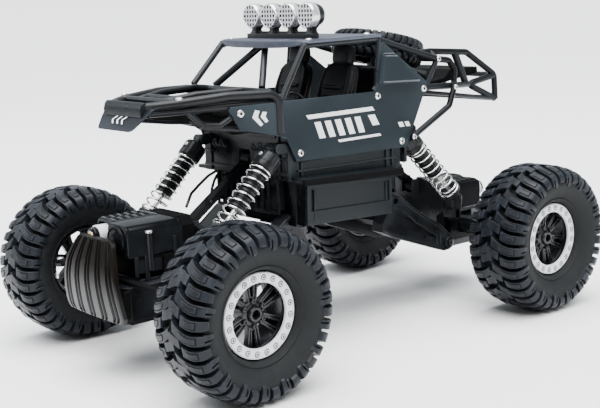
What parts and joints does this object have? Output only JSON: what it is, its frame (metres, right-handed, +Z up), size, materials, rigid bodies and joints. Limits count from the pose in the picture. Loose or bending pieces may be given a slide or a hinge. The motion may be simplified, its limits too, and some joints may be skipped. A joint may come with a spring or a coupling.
{
  "type": "remote control rock crawler",
  "caption": "Toy rock crawler with a tube cage and side panels, live axles on links and coil shocks, steered front knuckles, lugged tyres, a roof light bar and a spare tyre.",
  "frame": {"origin": "on the ground, midway between the axles on the centreline", "axes": "+X forward, +Y to the vehicle's left, +Z up"},
  "size_m": [0.352, 0.2288, 0.2152],
  "materials": {
    "blue": "satin",
    "board": "satin",
    "brass": "satin",
    "gloss_black": "gloss",
    "panel": "satin",
    "red": "satin",
    "roof": "satin",
    "satin_black": "satin",
    "silver_plastic": "satin",
    "skid": "satin",
    "steel": "polished",
    "tyre": "matt",
    "white": "satin"
  },
  "bodies": {
    "chassis": {"chassis_tub": "satin_black", "battery_door": "satin_black", "battery_pack": "blue", "circuit_board": "board", "front_cage": "satin_black", "rear_cage": "satin_black", "roof_panel": "roof", "left_side_panel": "panel", "right_side_panel": "panel", "cockpit": "satin_black", "light_bar": "satin_black", "light_grille": "silver_plastic", "spare_tyre": "tyre"},
    "switch": {"power_switch": "red"},
    "front_arm": {"front_lower_arm": "satin_black"},
    "front_link": {"front_upper_link": "satin_black"},
    "front_carrier": {"front_carrier": "satin_black"},
    "front_axle": {"front_axle_housing": "gloss_black", "front_motor_cover": "gloss_black", "front_motor": "white", "front_skid_plate": "skid", "steering_servo": "satin_black"},
    "front_gear": {"front_drive_gear": "brass"},
    "front_pinion": {"front_pinion": "brass"},
    "horn": {"servo_horn": "white"},
    "left_knuckle": {"left_knuckle": "satin_black"},
    "right_knuckle": {"right_knuckle": "satin_black"},
    "tie_rod": {"tie_rod": "steel"},
    "rear_arm": {"rear_lower_arm": "satin_black"},
    "rear_link": {"rear_upper_link": "satin_black"},
    "rear_carrier": {"rear_carrier": "satin_black"},
    "rear_axle": {"rear_axle_housing": "gloss_black", "rear_motor_cover": "gloss_black", "rear_motor": "white"},
    "rear_gear": {"rear_drive_gear": "brass"},
    "rear_pinion": {"rear_pinion": "brass"},
    "front_left_wheel": {"front_left_tyre": "tyre", "front_left_rim": "gloss_black", "front_left_ring": "silver_plastic"},
    "front_left_damper": {"front_left_shock_body": "satin_black", "front_left_spring": "steel"},
    "front_left_damper_rod": {"front_left_shock_rod": "steel"},
    "front_right_wheel": {"front_right_tyre": "tyre", "front_right_rim": "gloss_black", "front_right_ring": "silver_plastic"},
    "front_right_damper": {"front_right_shock_body": "satin_black", "front_right_spring": "steel"},
    "front_right_damper_rod": {"front_right_shock_rod": "steel"},
    "rear_left_wheel": {"rear_left_tyre": "tyre", "rear_left_rim": "gloss_black", "rear_left_ring": "silver_plastic"},
    "rear_left_damper": {"rear_left_shock_body": "satin_black", "rear_left_spring": "steel"},
    "rear_left_damper_rod": {"rear_left_shock_rod": "steel"},
    "rear_right_wheel": {"rear_right_tyre": "tyre", "rear_right_rim": "gloss_black", "rear_right_ring": "silver_plastic"},
    "rear_right_damper": {"rear_right_shock_body": "satin_black", "rear_right_spring": "steel"},
    "rear_right_damper_rod": {"rear_right_shock_rod": "steel"}
  },
  "joints": [
    {"name": "switch_slide", "type": "slide", "parent": "chassis", "child": "switch", "axis": [0, 1, 0], "range_m": [0, 0.004]},
    {"name": "front_heave", "type": "hinge", "parent": "chassis", "child": "front_arm", "pos_m": [0.046, 0, 0.08], "axis": [0, -1, 0], "range_deg": [-8, 8], "stiffness_Nm_per_rad": 8, "springref_deg": -3.15},
    {"name": "front_carrier_pivot", "type": "hinge", "parent": "front_arm", "child": "front_carrier", "pos_m": [0.098, 0, 0.043], "axis": [0, -1, 0], "range_deg": [-8.5, 8.5]},
    {"name": "front_link_pivot", "type": "hinge", "parent": "chassis", "child": "front_link", "pos_m": [0.048, 0, 0.117], "axis": [0, -1, 0], "range_deg": [-8.5, 8.5]},
    {"name": "front_roll", "type": "hinge", "parent": "front_carrier", "child": "front_axle", "pos_m": [0.104, 0, 0.05], "axis": [1, 0, 0], "range_deg": [-12, 12], "stiffness_Nm_per_rad": 3},
    {"name": "left_steer", "type": "hinge", "parent": "front_axle", "child": "left_knuckle", "pos_m": [0.126, 0.064, 0.05], "axis": [0, 0, 1], "range_deg": [-24, 24], "stiffness_Nm_per_rad": 1},
    {"name": "right_steer", "type": "hinge", "parent": "front_axle", "child": "right_knuckle", "pos_m": [0.126, -0.064, 0.05], "axis": [0, 0, 1], "range_deg": [-24.5, 24.5]},
    {"name": "servo_turn", "type": "hinge", "parent": "front_axle", "child": "horn", "pos_m": [0.126, 0, 0.058], "axis": [0, 0, 1], "range_deg": [-24.5, 24.5]},
    {"name": "tie_rod_pivot", "type": "hinge", "parent": "left_knuckle", "child": "tie_rod", "pos_m": [0.154, 0.064, 0.059], "axis": [0, 0, 1], "range_deg": [-24.5, 24.5]},
    {"name": "front_left_wheel_spin", "type": "hinge", "parent": "left_knuckle", "child": "front_left_wheel", "pos_m": [0.126, 0.093, 0.05], "axis": [0, 1, 0], "continuous": true},
    {"name": "front_right_wheel_spin", "type": "hinge", "parent": "right_knuckle", "child": "front_right_wheel", "pos_m": [0.126, -0.093, 0.05], "axis": [0, 1, 0], "continuous": true},
    {"name": "front_gear_spin", "type": "hinge", "parent": "front_axle", "child": "front_gear", "pos_m": [0.1147, 0, 0.06998], "axis": [1, 0, 0], "continuous": true},
    {"name": "front_pinion_spin", "type": "hinge", "parent": "front_axle", "child": "front_pinion", "pos_m": [0.1147, -0.0093, 0.083], "axis": [1, 0, 0], "continuous": true},
    {"name": "front_left_damper_pivot", "type": "hinge", "parent": "chassis", "child": "front_left_damper", "pos_m": [0.0575, 0.0395, 0.128], "axis": [0, -1, 0], "range_deg": [-8.14, 8.14]},
    {"name": "front_left_damper_slide", "type": "slide", "parent": "front_left_damper", "child": "front_left_damper_rod", "axis": [-0.6256, 0, 0.7802], "range_m": [-0.00273, 0.00273], "deforming": ["front_left_spring"]},
    {"name": "front_right_damper_pivot", "type": "hinge", "parent": "chassis", "child": "front_right_damper", "pos_m": [0.0575, -0.0395, 0.128], "axis": [0, -1, 0], "range_deg": [-8.14, 8.14]},
    {"name": "front_right_damper_slide", "type": "slide", "parent": "front_right_damper", "child": "front_right_damper_rod", "axis": [-0.6256, 0, 0.7802], "range_m": [-0.00273, 0.00273], "deforming": ["front_right_spring"]},
    {"name": "rear_heave", "type": "hinge", "parent": "chassis", "child": "rear_arm", "pos_m": [-0.046, 0, 0.08], "axis": [0, 1, 0], "range_deg": [-8, 8], "stiffness_Nm_per_rad": 8, "springref_deg": -3.15},
    {"name": "rear_carrier_pivot", "type": "hinge", "parent": "rear_arm", "child": "rear_carrier", "pos_m": [-0.098, 0, 0.043], "axis": [0, 1, 0], "range_deg": [-8.5, 8.5]},
    {"name": "rear_link_pivot", "type": "hinge", "parent": "chassis", "child": "rear_link", "pos_m": [-0.048, 0, 0.117], "axis": [0, 1, 0], "range_deg": [-8.5, 8.5]},
    {"name": "rear_roll", "type": "hinge", "parent": "rear_carrier", "child": "rear_axle", "pos_m": [-0.104, 0, 0.05], "axis": [-1, 0, 0], "range_deg": [-12, 12], "stiffness_Nm_per_rad": 3},
    {"name": "rear_left_wheel_spin", "type": "hinge", "parent": "rear_axle", "child": "rear_left_wheel", "pos_m": [-0.126, 0.093, 0.05], "axis": [0, 1, 0], "continuous": true},
    {"name": "rear_right_wheel_spin", "type": "hinge", "parent": "rear_axle", "child": "rear_right_wheel", "pos_m": [-0.126, -0.093, 0.05], "axis": [0, 1, 0], "continuous": true},
    {"name": "rear_gear_spin", "type": "hinge", "parent": "rear_axle", "child": "rear_gear", "pos_m": [-0.1147, -0.0056, 0.06477], "axis": [1, 0, 0], "continuous": true},
    {"name": "rear_pinion_spin", "type": "hinge", "parent": "rear_axle", "child": "rear_pinion", "pos_m": [-0.1147, 0.0093, 0.0706], "axis": [1, 0, 0], "continuous": true},
    {"name": "rear_left_damper_pivot", "type": "hinge", "parent": "chassis", "child": "rear_left_damper", "pos_m": [-0.0575, 0.0395, 0.128], "axis": [0, 1, 0], "range_deg": [-8.14, 8.14]},
    {"name": "rear_left_damper_slide", "type": "slide", "parent": "rear_left_damper", "child": "rear_left_damper_rod", "axis": [0.6256, 0, 0.7802], "range_m": [-0.00273, 0.00273], "deforming": ["rear_left_spring"]},
    {"name": "rear_right_damper_pivot", "type": "hinge", "parent": "chassis", "child": "rear_right_damper", "pos_m": [-0.0575, -0.0395, 0.128], "axis": [0, 1, 0], "range_deg": [-8.14, 8.14]},
    {"name": "rear_right_damper_slide", "type": "slide", "parent": "rear_right_damper", "child": "rear_right_damper_rod", "axis": [0.6256, 0, 0.7802], "range_m": [-0.00273, 0.00273], "deforming": ["rear_right_spring"]}
  ],
  "couplings": [
    {"joint": "front_carrier_pivot", "follows": "front_heave", "ratio": -1},
    {"joint": "front_link_pivot", "follows": "front_heave", "ratio": 1},
    {"joint": "right_steer", "follows": "left_steer", "ratio": 1},
    {"joint": "servo_turn", "follows": "left_steer", "ratio": 1},
    {"joint": "tie_rod_pivot", "follows": "left_steer", "ratio": -1},
    {"joint": "front_right_wheel_spin", "follows": "front_left_wheel_spin", "ratio": 1},
    {"joint": "front_gear_spin", "follows": "front_left_wheel_spin", "ratio": 3},
    {"joint": "front_pinion_spin", "follows": "front_left_wheel_spin", "ratio": -7.5},
    {"joint": "front_left_damper_pivot", "follows": "front_heave", "ratio": 0.9042},
    {"joint": "front_left_damper_slide", "follows": "front_heave", "m_per_rad": 0.017394},
    {"joint": "front_right_damper_pivot", "follows": "front_heave", "ratio": 0.9042},
    {"joint": "front_right_damper_slide", "follows": "front_heave", "m_per_rad": 0.017394},
    {"joint": "rear_carrier_pivot", "follows": "rear_heave", "ratio": -1},
    {"joint": "rear_link_pivot", "follows": "rear_heave", "ratio": 1},
    {"joint": "rear_right_wheel_spin", "follows": "rear_left_wheel_spin", "ratio": 1},
    {"joint": "rear_gear_spin", "follows": "rear_left_wheel_spin", "ratio": 3},
    {"joint": "rear_pinion_spin", "follows": "rear_left_wheel_spin", "ratio": -7.5},
    {"joint": "rear_left_damper_pivot", "follows": "rear_heave", "ratio": 0.9042},
    {"joint": "rear_left_damper_slide", "follows": "rear_heave", "m_per_rad": 0.017394},
    {"joint": "rear_right_damper_pivot", "follows": "rear_heave", "ratio": 0.9042},
    {"joint": "rear_right_damper_slide", "follows": "rear_heave", "m_per_rad": 0.017394}
  ]
}
